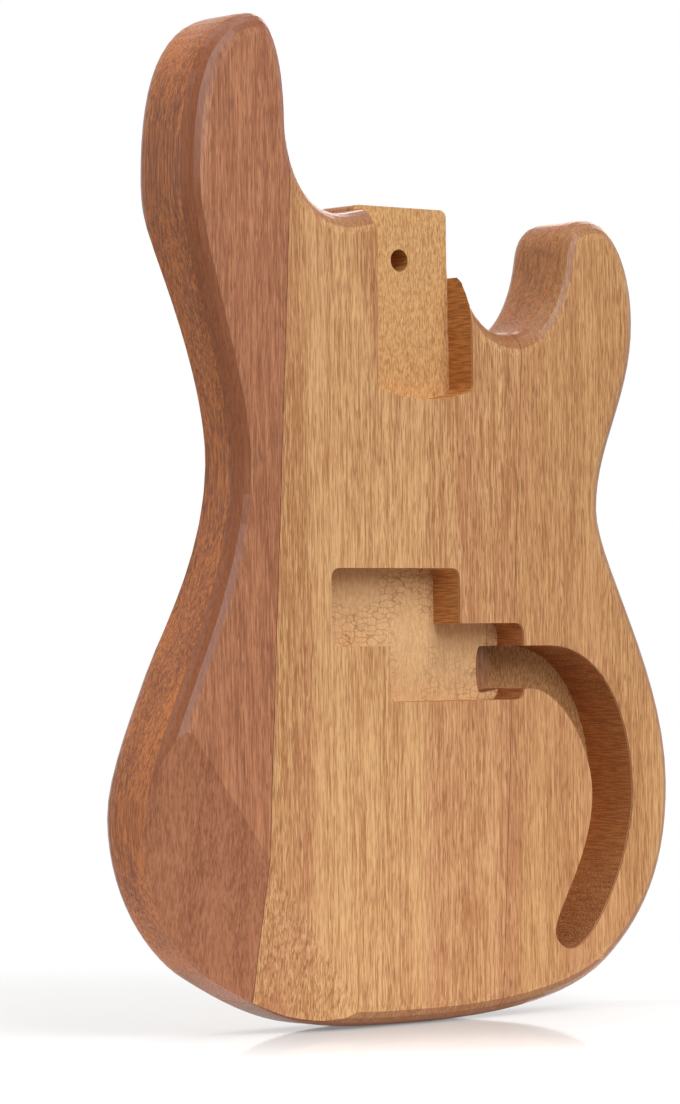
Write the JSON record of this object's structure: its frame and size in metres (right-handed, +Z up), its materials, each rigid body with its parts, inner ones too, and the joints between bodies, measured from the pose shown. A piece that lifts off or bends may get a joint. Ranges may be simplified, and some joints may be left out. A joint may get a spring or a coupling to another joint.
{
  "type": "bass guitar body",
  "caption": "Bare solid body of a bass guitar, glued from planks, with neck pocket, split pickup cavity, curved control rout, arm bevel and belly cut.",
  "frame": {"origin": "on the floor under the middle of the body's width and thickness, at the lowest point of the outline", "axes": "+Z up from the lower end to the horns, -Y out of the routed front face, +X to the treble side"},
  "size_m": [0.349, 0.045, 0.5025],
  "materials": {
    "bass_plank_wood": "thin clear satin over dark reddish-brown wood",
    "centre_plank_wood": "thin clear satin over golden-tan wood",
    "treble_plank_wood": "thin clear satin over golden-tan wood"
  },
  "bodies": {
    "root": {"bass_plank": "bass_plank_wood", "centre_plank": "centre_plank_wood", "treble_plank": "treble_plank_wood"}
  },
  "joints": []
}
